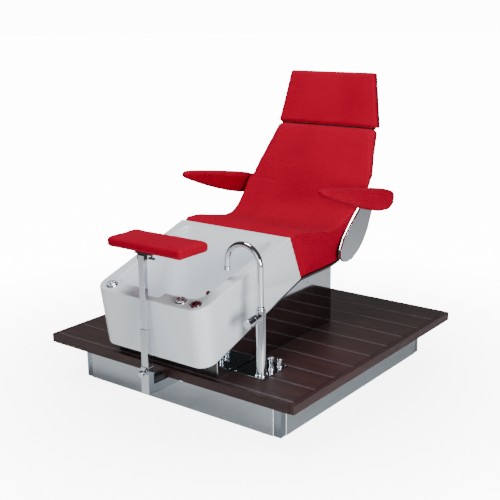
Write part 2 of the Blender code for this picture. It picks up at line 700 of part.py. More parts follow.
def headrest():
    """A padded panel hinged along its lower rear edge; it leans back about that edge."""
    foot, top = Vector(HEAD_FOOT), Vector(HEAD_TOP)
    course = (top - foot).normalized()
    behind = Vector((course.y, -course.x))

    def panel(name, near, far, inset, kind):
        front = [foot + behind * near + course * inset, top + behind * near - course * inset]
        back = [foot + behind * far + course * inset, top + behind * far - course * inset]
        halves = (HEAD_HALF_FOOT - inset, HEAD_HALF_TOP - inset)
        sections = sheet_sections([(*point, half) for point, half in zip(front, halves)],
                                  [(*point, half) for point, half in zip(back, halves)])
        return add_object(name, loft_mesh(sections), kind, parent=axis)

    hinge_at = foot + behind * (HEAD_CUSHION + HEAD_SHELL + HINGE_REACH) + course * 0.012
    axis = pivot("headrest_axis", (0, hinge_at.x, hinge_at.y))
    bevel(panel("headrest_cushion", 0.0, HEAD_CUSHION, 0.0, "red_fabric"), 0.006, 2)
    panel("headrest_shell", HEAD_CUSHION + GAP, HEAD_CUSHION + HEAD_SHELL, 0.003, "black_shell")

    tilt = math.degrees(math.atan2(course.y, course.x))
    tab_near = foot + behind * (HEAD_CUSHION + HEAD_SHELL + GAP)
    knuckle = [tuple(tab_near + course * 0.012), tuple(tab_near + course * 0.060),
               tuple(tab_near + behind * 0.003 + course * 0.060)]
    knuckle += arc(hinge_at, HINGE_EYE, tilt, tilt - 180, 10)
    add_object("headrest_knuckle", outline_mesh(knuckle, (-0.110, 0.110)), "zinc_steel", parent=axis)

    seat_end = [Vector(point[:2]) for point in placed(SEAT_LOW_LINE)[-2:]]
    up_back = (seat_end[1] - seat_end[0]).normalized()
    off_back = Vector((up_back.y, -up_back.x))
    end = seat_end[1] + off_back * (SHELL_THICK + 2 * GAP)
    leaf = [tuple(end + off_back * 0.003 - up_back * 0.090), tuple(end - up_back * 0.090),
            tuple(end + up_back * 0.002)]
    leaf += arc(hinge_at, HINGE_EYE, tilt + 90, tilt - 100, 10)
    leaf += [tuple(end + off_back * 0.012 - up_back * 0.004)]
    for side, x in (("left", -0.135), ("right", 0.1105)):
        add_object(f"headrest_hinge_{side}", outline_mesh(leaf, (x, x + 0.0245)), "zinc_steel")


# ---------------------------------------------------------------- armrests

# Stations along an armrest: y behind the deck's centre, underside, top, inner and outer x
ARM_STATIONS = [
    (-0.0450, 0.8470, 0.8600, 0.356, 0.382), (-0.0340, 0.8390, 0.8645, 0.352, 0.390),
    (-0.0120, 0.8300, 0.8665, 0.351, 0.397), (0.1000, 0.7880, 0.8505, 0.354, 0.412),
    (0.2000, 0.7540, 0.8345, 0.356, 0.421), (0.3000, 0.7245, 0.8175, 0.356, 0.427),
    (0.3850, 0.7030, 0.8030, 0.356, 0.428), (0.4450, 0.7000, 0.7910, 0.356, 0.428),
    (0.4880, 0.7160, 0.7780, 0.358, 0.425), (0.5070, 0.7380, 0.7600, 0.364, 0.418),
]


def armrest_mesh(sign):
    """Thin and rounded at its front tip, deep and blunt at its heel."""
    sections = []
    for y, low, high, near, far in ARM_STATIONS:
        ring = [(sign * near, low), (sign * far, low), (sign * far, high), (sign * near, high)]
        sections.append([(x, DECK_Y + y, z) for x, z in ring])
    return loft_mesh(sections)


def bracket_outline():
    """Side view of a bracket: a lens-shaped blade that widens to an eye at the top."""
    y = DECK_Y
    points = [(y + 0.258, 0.4800), (y + 0.305, 0.4835), (y + 0.365, 0.515), (y + 0.404, 0.548),
              (y + 0.442, 0.600), (y + 0.478, 0.678)]
    points += arc((ARM_PIVOT[0] + 0.002, ARM_PIVOT[1] - 0.002), 0.026, -5, 175, 6)
    points += [(y + 0.384, 0.716), (y + 0.340, 0.680), (y + 0.290, 0.640), (y + 0.236, 0.590),
               (y + 0.211, 0.545), (y + 0.212, 0.507), (y + 0.228, 0.487)]
    return points


def armrests():
    for side, sign in (("left", -1), ("right", 1)):
        axis = pivot(f"armrest_{side}_axis", (sign * ARM_INNER, *ARM_PIVOT))
        pad = add_object(f"armrest_pad_{side}", armrest_mesh(sign), "red_fabric", parent=axis)
        bevel(smooth(pad, 50.0), 0.009, 2)
        start, end = sorted((sign * BRACKET_X, sign * (BRACKET_X + BRACKET_THICK)))
        blade = add_object(f"armrest_bracket_{side}", outline_mesh(bracket_outline(), (start, end)),
                           "polished_steel")
        eye = cylinder_mesh(ARM_PIN_R + GAP, (sign * (BRACKET_X - 0.01), *ARM_PIVOT), (sign, 0, 0), 0.03)
        cut(blade, add_object(f"armrest_eye_{side}", eye, collection=CUTTERS))
        reach = BRACKET_X + BRACKET_THICK + GAP
        length = ARM_INNER - GAP - reach
        turned(f"armrest_hub_{side}", [(0, length), (0.016, length), (0.016, 0), (ARM_PIN_R, 0),
                                       (ARM_PIN_R, -BRACKET_THICK), (0, -BRACKET_THICK)],
               (sign * reach, *ARM_PIVOT), (sign, 0, 0), "chrome", 20, parent=axis)


# ---------------------------------------------------------------- leg rest

def upright_tube(name, size, centre_y, low, high, kind, parent):
    """A rectangular tube, open at both ends."""
    half_x, half_y = size[0] / 2, size[1] / 2
    outer = box(name, (LEG_X - half_x, centre_y - half_y, low),
                (LEG_X + half_x, centre_y + half_y, high), kind, parent=parent)
    in_x, in_y = half_x - TUBE_WALL, half_y - TUBE_WALL
    bore = box_cutter(f"{name}_bore", (LEG_X - in_x, centre_y - in_y, low - 0.01),
                      (LEG_X + in_x, centre_y + in_y, high + 0.01))
    return cut(outer, bore)


def leg_rest():
    """A post on a sliding arm: two tubes telescope in a sleeve and carry a tilting pad."""
    post_y = POST_FRONT + OUTER_TUBE[1] / 2
    post_back = POST_FRONT + OUTER_TUBE[1]
    slider = pivot("legrest_arm_axis", (LEG_X, post_y, ARM_LOW))
    beam = box("legrest_arm", (LEG_X - ARM_HALF, post_back + GAP, ARM_LOW),
               (LEG_X + ARM_HALF, ARM_REAR, ARM_TOP), "polished_steel", parent=slider)
    in_x = ARM_HALF - TUBE_WALL
    cut(beam, box_cutter("arm_bore", (LEG_X - in_x, post_back - 0.01, ARM_LOW + TUBE_WALL),
                         (LEG_X + in_x, ARM_REAR + 0.01, ARM_TOP - TUBE_WALL)))
    box("legrest_stop", (LEG_X - 0.015, post_back + GAP, ARM_TOP + GAP),
        (LEG_X + 0.015, DECK_FRONT - 0.006, 0.186), "black_plastic", parent=slider)
    sleeve = upright_tube("legrest_outer_tube", OUTER_TUBE, post_y, POST_LOW, OUTER_TOP,
                          "polished_steel", slider)
    knob_z = OUTER_TOP - 0.022
    knob_bore = cylinder_mesh(0.0056, (LEG_X, POST_FRONT - 0.01, knob_z), (0, 1, 0), 0.014)
    cut(sleeve, add_object("clamp_bore", knob_bore, collection=CUTTERS))
    knob_base = Vector((LEG_X, POST_FRONT - 0.0006, knob_z))
    turned("clamp_knob", [(0, 0.026), (0.010, 0.026), (0.0135, 0.023), (0.0135, 0.012), (0.007, 0.009),
                          (0.007, 0), (0.005, 0), (0.005, -0.0022), (0, -0.0022)],
           knob_base, (0, -1, 0), "chrome", 20, parent=pivot("clamp_knob_axis", knob_base))

    middle = pivot("legrest_middle_axis", (LEG_X, post_y, OUTER_TOP))
    upright_tube("legrest_middle_tube", MIDDLE_TUBE, post_y, MIDDLE_LOW, MIDDLE_TOP, "polished_steel",
                 middle)
    upper = pivot("legrest_upper_axis", (LEG_X, post_y, MIDDLE_TOP))
    upright_tube("legrest_upper_tube", UPPER_TUBE, post_y, UPPER_LOW, UPPER_TOP, "chrome", upper)
    leg_pad(post_y)


def leg_pad(post_y):
    """The pad, its bracket with two ears round the post's top, and the wing screw below it."""
    axis = pivot("legrest_pad_axis", (LEG_X, post_y, TILT_Z))
    pad_back = PAD_FRONT + PAD_DEPTH
    plate = box("legrest_pad_plate", (LEG_X - 0.030, PAD_FRONT + 0.014, PLATE_LOW),
                (LEG_X + 0.054, pad_back - 0.045, PAD_LOW - GAP), "black_plastic", parent=axis)
    for side, x in (("left", LEG_X - 0.0192), ("right", LEG_X + 0.0152)):
        join(plate, box_cutter(f"pad_ear_{side}", (x, post_y - 0.009, TILT_Z - 0.010),
                               (x + 0.004, post_y + 0.009, PLATE_LOW + 0.002)))
    pad = box("legrest_pad", (PAD_X - PAD_WIDTH / 2, PAD_FRONT, PAD_LOW),
              (PAD_X + PAD_WIDTH / 2, pad_back, PAD_LOW + PAD_THICK), "red_fabric", parent=axis)
    bevel(pad, 0.013, 3)
    stem = Vector((LEG_X + 0.038, post_y + 0.012, PLATE_LOW - GAP))
    wing = cylinder("tilt_handle", 0.004, stem, (0, 0, -1), 0.014, "black_plastic", 16,
                    parent=pivot("tilt_handle_axis", stem))
    join(wing, box_cutter("tilt_wing", stem + Vector((-0.0145, -0.004, -0.0205)),
                          stem + Vector((0.0145, 0.004, -0.0130))))


# ---------------------------------------------------------------- assembly

def build():
    chassis()
    plinth_panels()
    levelling_feet()
    deck()
    pedestal()
    seat_support()
    basin()
    controls()
    drain()
    machinery()
    tap()
    valves()
    seat()
    headrest()
    armrests()
    leg_rest()


build()
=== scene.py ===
"""The looks of the pedicure spa chair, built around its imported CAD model.

Units are metres and +Z is up. The sitter faces -Y. Every piece is made in the CAD model's frame.
"""

import json
import math

import bmesh
import bpy
from mathutils import Matrix, Vector
from mathutils.bvhtree import BVHTree

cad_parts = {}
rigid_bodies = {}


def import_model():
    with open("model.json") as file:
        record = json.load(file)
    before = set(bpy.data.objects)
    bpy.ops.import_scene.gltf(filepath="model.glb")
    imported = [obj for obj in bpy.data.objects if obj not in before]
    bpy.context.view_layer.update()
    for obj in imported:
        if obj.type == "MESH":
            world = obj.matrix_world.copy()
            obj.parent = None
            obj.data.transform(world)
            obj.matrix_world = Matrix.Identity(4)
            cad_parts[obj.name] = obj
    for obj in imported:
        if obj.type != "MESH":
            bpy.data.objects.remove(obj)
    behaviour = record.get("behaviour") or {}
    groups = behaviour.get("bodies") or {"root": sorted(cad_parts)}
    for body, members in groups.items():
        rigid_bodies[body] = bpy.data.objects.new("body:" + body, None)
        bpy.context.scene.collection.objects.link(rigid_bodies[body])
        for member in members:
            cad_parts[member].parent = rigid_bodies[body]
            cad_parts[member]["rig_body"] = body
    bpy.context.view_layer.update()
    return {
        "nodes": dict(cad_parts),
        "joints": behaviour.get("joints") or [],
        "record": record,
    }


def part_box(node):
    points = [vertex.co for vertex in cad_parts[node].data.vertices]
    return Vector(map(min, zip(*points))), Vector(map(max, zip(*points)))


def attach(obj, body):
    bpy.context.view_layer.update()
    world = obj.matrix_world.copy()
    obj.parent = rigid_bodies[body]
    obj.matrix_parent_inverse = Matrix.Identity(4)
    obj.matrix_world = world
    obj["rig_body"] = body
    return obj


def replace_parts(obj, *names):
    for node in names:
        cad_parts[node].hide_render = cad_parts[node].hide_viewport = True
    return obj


# Camera, at the photograph's viewing angle
CAMERA_AT = (2.3477, -3.0357, 1.5837)
CAMERA_BACK = (0.58754, -0.76690, 0.25818)     # from the object towards the camera
CAMERA_ROLL = math.radians(-0.695)
CAMERA_LENS = 65.0
CAMERA_SENSOR = 36.0

# Studio. The backdrop and the floor's glow are strengths that the camera sees
BACKDROP = 14.0
FLOOR_NEAR = 6.0
FLOOR_FAR = 14.0
FLOOR_GLOW = (0.75, 2.2)           # distances from the middle between which the glow rises
FLOOR_MIRRORED = 0.015             # share of the glow that reflections meet
FLOOR_RADIUS = 60.0
FLOOR_DROP = 0.0005
ROOM = ((0.0, 0.85), (0.15, 0.60), (0.40, 0.14), (1.0, 0.08))     # height and grey
SIDE_WAY = (0.794, 0.608, 0.0)     # the room is darker towards both ends of this line
SIDE_RANGE = (0.62, 0.82)
SIDE_DARK = 0.15
LIGHTS = (                         # name, place, target, size and energy
    ("key", (3.8, -1.7, 1.2), (0.0, 0.0, 0.6), 1.3, 150.0),
    ("front", (1.2, -4.4, 1.6), (0.0, 0.0, 0.3), 2.4, 34.0),
    ("top", (-0.5, -0.6, 4.2), (0.0, -0.3, 0.0), 1.5, 145.0),
)

# Upholstery
SEAT_VOXEL = 0.0075
PAD_VOXEL = 0.0050
SIM_FRAMES = 20
SIM_PRESSURE = 4.0
EDGE_PULL = 0.0018                 # how far the skin may shrink inside the CAD surface
REST_PULL = 0.0006                 # how far it stays inside where it rests on a shell or a plate
WEAVE_PITCH = 0.0016
SEAM_RADIUS = 0.0011
SEAM_INSET = 0.0002
SEAM_STEP = 0.008
SEAM_ROUNDS = 3
ARM_SEAM_FROM = 0.395              # the armrest's seam follows its outer edge, beyond this x
ARM_SEAM_IN = 0.004
LEG_SEAM_UP = 0.011
HEAD_LEAN = math.radians(9.79)
# The tongues are near-black sheets of painted shade in the gap under the headrest
TONGUE_DEEP = 0.005
TONGUE_SIDE = 0.014
TONGUES = (                        # name, cushion, depth behind its front, lower and upper edge
    ("neck_tongue_upper", "headrest_cushion", 0.008, -0.0014, 0.004),
    ("neck_tongue_lower", "seat_cushion", 0.0165, -0.0065, -0.0005),
)

# Basin
BASIN_VOXEL = 0.0034
BASIN_ROUNDS = 10
FLAT_NEAR = 0.0012                 # skin this close to a CAD face, and facing as it does, lies on it
FLAT_FACING = 0.9985

# Deck strips, across and up from the groove's middle and the deck's top
GROOVE_DEPTHS = (0.001, 0.004)     # the grooves' floors lie between these depths
STRIP_END = 0.0005
STRIP_FOOT = 0.0024
RIB_OUT = 0.0056
RIB_HALF = 0.0011
RIB_PROUD = 0.0002
FLOOR_HALF = 0.0043
FLOOR_SUNK = 0.0010

# Screws, in from the edges of their panels
PANEL_SCREW_IN = 0.025
PANEL_SCREW_FAR = 0.190
PLATE_SCREW_IN = 0.010

# Mesh work
CORNER_JOIN = 0.00002
FLAT_ANGLE = math.radians(0.4)     # faces within this angle are one face
EDGE_ANGLE = math.radians(30.0)    # edges beyond this angle are rounded
SHARP_ANGLE = math.radians(38.0)   # edges beyond this angle are shaded sharp

SIDES = (("left", -1), ("right", 1))
UP = Vector((0, 0, 1))

# Colours, linear
RED = (0.36, 0.0006, 0.019)
RED_DARK = (0.20, 0.001, 0.010)
WHITE_ACRYLIC = (0.83, 0.895, 0.945)
WENGE_DARK = (0.010, 0.0038, 0.0040)
WENGE_LIGHT = (0.050, 0.0175, 0.0180)
STEEL = (0.47, 0.52, 0.56)
POST_STEEL = (0.29, 0.335, 0.375)
CHROME = (0.62, 0.655, 0.70)
MIRROR = (0.56, 0.60, 0.63)
BLACK = (0.010, 0.010, 0.011)

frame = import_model()
JOINTS = {joint["name"]: joint for joint in frame["joints"]}
BODY_OF = {
    node: body
    for body, nodes in frame["record"]["behaviour"]["bodies"].items()
    for node in nodes
}
SLOT_OF = {part["node"]: part["material_slot"] for part in frame["record"]["subparts"]}


# ---------------------------------------------------------------- materials

def set_stops(ramp, stops):
    """Give a colour ramp its stops, each a position and a colour."""
    elements = ramp.color_ramp.elements
    while len(elements) < len(stops):
        elements.new(0.5)
    for element, (position, colour) in zip(elements, stops):
        element.position = position
        element.color = (*colour, 1.0)


def set_range(node, start, end, low, high):
    """Let a map-range node take start..end to low..high."""
    for socket, number in zip(("From Min", "From Max", "To Min", "To Max"), (start, end, low, high)):
        node.inputs[socket].default_value = number


class Shader:
    """A material with a Principled shader and a short way to add and link nodes."""

    def __init__(self, name, colour, roughness, metallic=0.0, **sockets):
        self.material = bpy.data.materials.new(name)
        self.material.use_nodes = True
        self.tree = self.material.node_tree
        self.principled = self.tree.nodes["Principled BSDF"]
        self.set("Base Color", (*colour, 1.0))
        self.set("Roughness", roughness)
        self.set("Metallic", metallic)
        for socket, value in sockets.items():
            self.set(socket.replace("_", " "), value)
        self.place = self.tree.nodes.new("ShaderNodeTexCoord").outputs["Object"]

    def set(self, socket, value):
        self.principled.inputs[socket].default_value = value

    def node(self, kind, **values):
        node = self.tree.nodes.new(kind)
        for key, value in values.items():
            if hasattr(node, key):
                setattr(node, key, value)
            else:
                node.inputs[key.replace("_", " ")].default_value = value
        return node

    def link(self, output, node, socket):
        self.tree.links.new(output, node.inputs[socket])

    def stretched(self, scale):
        mapping = self.node("ShaderNodeMapping")
        mapping.inputs["Scale"].default_value = scale
        self.link(self.place, mapping, "Vector")
        return mapping.outputs["Vector"]

    def noise(self, scale, detail=3.0, roughness=0.5, stretch=None):
        noise = self.node("ShaderNodeTexNoise", Scale=scale, Detail=detail, Roughness=roughness)
        self.link(self.stretched(stretch) if stretch else self.place, noise, "Vector")
        return noise.outputs["Fac"]

    def waves(self, axes, **values):
        """A pattern of bands across each of the axes."""
        made = [self.node("ShaderNodeTexWave", bands_direction=axis, **values) for axis in axes]
        for wave in made:
            self.link(self.place, wave, "Vector")
        return [wave.outputs["Fac"] for wave in made]

    def ramp(self, value, stops):
        ramp = self.node("ShaderNodeValToRGB")
        set_stops(ramp, stops)
        self.link(value, ramp, "Fac")
        return ramp.outputs["Color"]

    def spread(self, value, low, high, start=0.3, end=0.7):
        """Map the range start..end of value to low..high."""
        spread = self.node("ShaderNodeMapRange")
        set_range(spread, start, end, low, high)
        self.link(value, spread, "Value")
        return spread.outputs["Result"]

    def math(self, operation, first, second):
        math_node = self.node("ShaderNodeMath")
        math_node.operation = operation
        for index, value in enumerate((first, second)):
            if isinstance(value, (int, float)):
                math_node.inputs[index].default_value = value
            else:
                self.tree.links.new(value, math_node.inputs[index])
        return math_node.outputs["Value"]

    def colour(self, output):
        self.link(output, self.principled, "Base Color")

    def rough(self, output):
        self.link(output, self.principled, "Roughness")

    def bump(self, height, strength, distance):
        bump = self.node("ShaderNodeBump", Strength=strength, Distance=distance)
        self.link(height, bump, "Height")
        self.link(bump.outputs["Normal"], self.principled, "Normal")


def shade(colour, factor):
    """The colour made lighter or darker."""
    return tuple(channel * factor for channel in colour)


def red_fabric():
    """Tight woven wool: a fine two-way weave, a little fuzz and slow shifts of tone."""
    look = Shader("red_fabric", RED, 0.90, Sheen_Weight=0.03, Sheen_Roughness=0.5,
                  Sheen_Tint=(1.0, 0.35, 0.38, 1.0), Specular_IOR_Level=0.05)
    pitch = 2 * math.pi / WEAVE_PITCH / 20
    across, along, depth = look.waves("XZY", Scale=pitch, Distortion=1.5, Detail=1.0)
    weave = look.math("MULTIPLY", across, look.math("MAXIMUM", along, depth))
    fuzz = look.noise(700.0, 4.0, 0.6)
    cloth = look.math("ADD", look.math("MULTIPLY", weave, 0.5), look.math("MULTIPLY", fuzz, 0.6))
    shift = look.math("MULTIPLY", look.noise(5.0, 4.0), 0.6)
    tone = look.math("ADD", look.math("MULTIPLY", cloth, 0.30), shift)
    look.colour(look.ramp(tone, [(0.15, shade(RED, 0.80)), (0.50, RED), (0.85, shade(RED, 1.16))]))
    look.bump(cloth, 0.22, 0.0005)
    return look.material


def seam_fabric():
    """Darker thread, for the seams."""
    look = Shader("red_seam", RED_DARK, 0.85, Sheen_Weight=0.15, Specular_IOR_Level=0.2)
    thread = look.noise(1400.0, 2.0)
    look.colour(look.ramp(thread, [(0.3, shade(RED_DARK, 0.7)), (0.7, shade(RED_DARK, 1.3))]))
    look.bump(thread, 0.5, 0.0005)
    return look.material


def wenge(name, along):
    """Dark open-grained veneer; along is the axis that the grain follows."""
    look = Shader(name, WENGE_LIGHT, 0.42, Specular_IOR_Level=0.32)
    fine = (3.0, 120.0, 120.0) if along == "X" else (120.0, 3.0, 120.0)
    broad = (0.6, 14.0, 14.0) if along == "X" else (14.0, 0.6, 14.0)
    pores = look.noise(3.0, 5.0, 0.65, fine)
    bands = look.noise(2.0, 4.0, 0.6, broad)
    grain = look.math("ADD", look.math("MULTIPLY", pores, 0.62), look.math("MULTIPLY", bands, 0.42))
    middle = shade(WENGE_LIGHT, 0.60)
    look.colour(look.ramp(grain, [(0.36, WENGE_DARK), (0.52, middle), (0.72, WENGE_LIGHT)]))
    look.rough(look.spread(pores, 0.52, 0.36))
    look.bump(pores, 0.22, 0.0005)
    return look.material


def satin_steel(name, stretch, tone=STEEL, rough=0.30):
    """Brushed stainless sheet; the stretch is small along the brushing."""
    look = Shader(name, tone, rough, 1.0)
    lines = look.noise(6.0, 6.0, 0.7, stretch)
    look.colour(look.ramp(lines, [(0.25, shade(tone, 0.92)), (0.75, shade(tone, 1.06))]))
    look.rough(look.spread(lines, rough * 0.85, rough * 1.2))
    look.bump(lines, 0.05, 0.0003)
    return look.material


def mirror_steel():
    """Polished stainless sheet with a faint haze."""
    look = Shader("mirror_steel", MIRROR, 0.05, 1.0)
    haze = look.noise(9.0, 5.0, 0.6)
    look.colour(look.ramp(haze, [(0.3, shade(MIRROR, 0.94)), (0.7, MIRROR)]))
    look.rough(look.spread(haze, 0.035, 0.075))
    return look.material


def chrome():
    """Chrome plate with faint smears."""
    look = Shader("chrome", CHROME, 0.05, 1.0)
    smear = look.noise(26.0, 4.0, 0.6)
    look.colour(look.ramp(smear, [(0.3, shade(CHROME, 0.96)), (0.7, CHROME)]))
    look.rough(look.spread(smear, 0.03, 0.075))
    return look.material


def zinc():
    """Dull zinc plate on the hidden frames."""
    look = Shader("zinc_plate", (0.42, 0.43, 0.44), 0.42, 1.0)
    bloom = look.noise(60.0, 4.0, 0.6)
    look.colour(look.ramp(bloom, [(0.3, (0.36, 0.37, 0.38)), (0.7, (0.46, 0.47, 0.48))]))
    look.rough(look.spread(bloom, 0.34, 0.52))
    return look.material


def acrylic():
    """White sanitary acrylic with a clear glossy skin and faint shifts of tone."""
    look = Shader("white_acrylic", WHITE_ACRYLIC, 0.16, Coat_Weight=0.6, Coat_Roughness=0.07)
    cloud = look.noise(4.0, 3.0)
    look.colour(look.ramp(cloud, [(0.3, shade(WHITE_ACRYLIC, 0.975)), (0.7, WHITE_ACRYLIC)]))
    look.rough(look.spread(cloud, 0.13, 0.19))
    return look.material


def coloured(name, colour, roughness, grain=300.0, bump=0.15, metallic=0.0, **sockets):
    """Moulded or painted surface with fine grain."""
    look = Shader(name, colour, roughness, metallic, **sockets)
    grains = look.noise(grain, 3.0, 0.6)
    look.colour(look.ramp(grains, [(0.3, shade(colour, 0.85)), (0.7, shade(colour, 1.15))]))
    look.rough(look.spread(grains, roughness * 0.9, min(roughness * 1.15, 1.0)))
    look.bump(grains, bump, 0.0003)
    return look.material


def braid():
    """Steel-wire braid over a water hose."""
    look = Shader("braided_hose", (0.46, 0.47, 0.48), 0.35, 0.8)
    mesh = look.math("MULTIPLY", *look.waves(("X", "DIAGONAL"), Scale=90.0, Distortion=0.6))
    look.colour(look.ramp(mesh, [(0.1, (0.20, 0.21, 0.22)), (0.7, (0.60, 0.61, 0.62))]))
    look.bump(mesh, 0.6, 0.0008)
    return look.material


MATERIALS = {
    "wenge": wenge("wenge_boards", "X"),
    "wenge_edge": wenge("wenge_edges", "Y"),
    "plinth_steel": satin_steel("plinth_steel", (1.0, 1.0, 60.0)),
    "mirror_steel": mirror_steel(),
    "frame_steel": satin_steel("post_steel", (60.0, 60.0, 1.0), POST_STEEL, 0.20),
    "zinc_steel": zinc(),
    "basin_white": acrylic(),
    "chrome": chrome(),
    "red_lens": coloured("red_lens", (0.050, 0.000, 0.003), 0.09, 40.0, 0.0, Specular_IOR_Level=0.4),
    "black_plastic": coloured("black_plastic", BLACK, 0.42),
    "grey_plastic": coloured("grey_plastic", (0.22, 0.23, 0.24), 0.50),
    "black_shell": coloured("black_lacquer", BLACK, 0.30, 120.0, 0.05, Coat_Weight=0.3),
    "red_fabric": red_fabric(),
    "hose": braid(),
}
SEAM = seam_fabric()
STRIP = coloured("tread_metal", (0.13, 0.10, 0.105), 0.30, 90.0, 0.02, 0.5)
# Near-black sheet for the gap under the headrest: painted shade that stands in for the gap's shadow
GAP_SHADE_CLOTH = coloured("painted_gap_shade", (0.012, 0.010, 0.011), 0.85, 900.0, 0.4)


# ---------------------------------------------------------------- making pieces

def add_piece(name, mesh, material, body):
    """A new piece that moves with a body."""
    piece = bpy.data.objects.new(name, mesh)
    bpy.context.scene.collection.objects.link(piece)
    mesh.materials.clear()
    mesh.materials.append(material)
    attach(piece, body)
    return piece


def from_bmesh(name, bm, material, body):
    """A new piece from a bmesh, smooth but for its sharp edges."""
    mesh = bpy.data.meshes.new(name)
    bmesh.ops.recalc_face_normals(bm, faces=bm.faces)
    bm.to_mesh(mesh)
    bm.free()
    mesh.shade_smooth()
    mesh.set_sharp_from_angle(angle=SHARP_ANGLE)
    return add_piece(name, mesh, material, body)


def cad_bmesh(node):
    """The CAD node's mesh with its split corners joined."""
    bm = bmesh.new()
    bm.from_mesh(frame["nodes"][node].data)
    bmesh.ops.remove_doubles(bm, verts=bm.verts, dist=CORNER_JOIN)
    return bm


def softened(node, width):
    """A copy of a CAD node with its hard edges rounded off; it is shown in the node's place."""
    bm = cad_bmesh(node)
    bmesh.ops.dissolve_limit(bm, angle_limit=FLAT_ANGLE, verts=bm.verts, edges=bm.edges)
    sharp = [edge for edge in bm.edges if edge.is_manifold and edge.calc_face_angle() > EDGE_ANGLE]
    bmesh.ops.bevel(bm, geom=sharp, offset=width, segments=2, profile=0.5, affect="EDGES",
                    clamp_overlap=True)
    piece = from_bmesh(f"{node}_edged", bm, MATERIALS[SLOT_OF[node]], BODY_OF[node])
    flat_faces(piece)
    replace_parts(piece, node)


def flat_faces(piece):
    """Keep the large faces' shading flat up to their rounded edges."""
    weighted = piece.modifiers.new("weighted", "WEIGHTED_NORMAL")
    weighted.mode = "FACE_AREA"
    weighted.weight = 100
    weighted.keep_sharp = True
    apply_modifiers(piece)


def apply_modifiers(piece):
    """Make the piece's modified mesh its own."""
    depsgraph = bpy.context.evaluated_depsgraph_get()
    mesh = bpy.data.meshes.new_from_object(piece.evaluated_get(depsgraph))
    piece.modifiers.clear()
    piece.data = mesh


def remeshed(node, name, voxel, rounds):
    """An even quad mesh of a CAD node, with its corners rounded by smoothing; not yet on a body."""
    mesh = bpy.data.meshes.new(name)
    bm = cad_bmesh(node)
    bm.to_mesh(mesh)
    bm.free()
    piece = bpy.data.objects.new(name, mesh)
    bpy.context.scene.collection.objects.link(piece)
    remesh = piece.modifiers.new("remesh", "REMESH")
    remesh.mode = "VOXEL"
    remesh.voxel_size = voxel
    smooth = piece.modifiers.new("smooth", "SMOOTH")
    smooth.factor = 0.5
    smooth.iterations = rounds
    apply_modifiers(piece)
    return piece


def cad_tree(node):
    """A search tree over a CAD node's surface."""
    bm = cad_bmesh(node)
    tree = BVHTree.FromBMesh(bm)
    bm.free()
    return tree


def swell(piece, cap):
    """Blow the piece up by cloth simulation, and let no point move further than cap."""
    rest = [vert.co.copy() for vert in piece.data.vertices]
    cloth = piece.modifiers.new("cloth", "CLOTH")
    cloth.settings.quality = 3
    cloth.settings.mass = 0.3
    cloth.settings.tension_stiffness = 12.0
    cloth.settings.compression_stiffness = 12.0
    cloth.settings.use_pressure = True
    cloth.settings.uniform_pressure_force = SIM_PRESSURE
    cloth.settings.effector_weights.gravity = 0.0
    cloth.collision_settings.use_self_collision = False
    cloth.point_cache.frame_end = SIM_FRAMES
    for step in range(1, SIM_FRAMES + 1):
        bpy.context.scene.frame_set(step)
    depsgraph = bpy.context.evaluated_depsgraph_get()
    evaluated = piece.evaluated_get(depsgraph)
    moved = [vert.co.copy() for vert in evaluated.data.vertices]
    piece.modifiers.clear()
    bpy.context.scene.frame_set(1)
    for vert, start, end in zip(piece.data.vertices, rest, moved):
        move = end - start
        if move.length > cap:
            move *= cap / move.length
        vert.co = start + move


def hold_in(piece, tree, proud, rests):
    """Keep the skin near the CAD surface: within proud outside it, and inside it where it rests."""
    for vert in piece.data.vertices:
        near, normal, _, _ = tree.find_nearest(vert.co)
        limit = -REST_PULL if rests(normal) else proud
        height = (vert.co - near).dot(normal)
        kept = max(min(height, limit), -EDGE_PULL)
        vert.co += normal * (kept - height)


def even_out(piece, rounds):
    """Take out the small steps that the voxels leave."""
    bm = bmesh.new()
    bm.from_mesh(piece.data)
    for _ in range(rounds):
        bmesh.ops.smooth_vert(bm, verts=bm.verts, factor=0.5, use_axis_x=True, use_axis_y=True,
                              use_axis_z=True)
    bm.to_mesh(piece.data)
    bm.free()


def cushion(node, name, voxel, rounds, cap, proud, rests, evened=3):
    """A stuffed piece in place of a soft CAD solid.

    Rounds is the smoothing before the swelling, and evened the smoothing after it. The skin swells
    by cap at most and ends up no further than proud outside the CAD surface.
    """
    piece = remeshed(node, name, voxel, rounds)
    swell(piece, cap)
    tree = cad_tree(node)
    hold_in(piece, tree, proud, rests)
    even_out(piece, evened)
    hold_in(piece, tree, proud, rests)
    piece.data.update()
    finer = piece.modifiers.new("finer", "SUBSURF")
    finer.levels = finer.render_levels = 1
    apply_modifiers(piece)
    stand_in(piece, node, "red_fabric")
    return piece


def stand_in(piece, node, slot):
    """Show the piece in the CAD node's place, with the slot's material."""
    piece.data.shade_smooth()
    piece.data.materials.clear()
    piece.data.materials.append(MATERIALS[slot])
    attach(piece, BODY_OF[node])
    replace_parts(piece, node)


def tube(name, route, radius, material, body, sides=8):
    """A round bar or thread along a smooth route."""
    curve = bpy.data.curves.new(name, "CURVE")
    curve.dimensions = "3D"
    curve.bevel_depth = radius
    curve.bevel_resolution = max(sides // 4 - 1, 0)
    curve.use_fill_caps = True
    spline = curve.splines.new("POLY")
    spline.points.add(len(route) - 1)
    for point, place in zip(spline.points, route):
        point.co = (*place, 1.0)
    holder = bpy.data.objects.new(name, curve)
    bpy.context.scene.collection.objects.link(holder)
    mesh = bpy.data.meshes.new_from_object(holder.evaluated_get(bpy.context.evaluated_depsgraph_get()))
    bpy.data.objects.remove(holder)
    mesh.shade_smooth()
    return add_piece(name, mesh, material, body)


def dense(corners, step):
    """Points at most step apart along a polyline."""
    points = [Vector(corners[0])]
    for start, end in zip(corners, corners[1:]):
        start, end = Vector(start), Vector(end)
        count = max(int((end - start).length / step), 1)
        points += [start.lerp(end, index / count) for index in range(1, count + 1)]
    return points


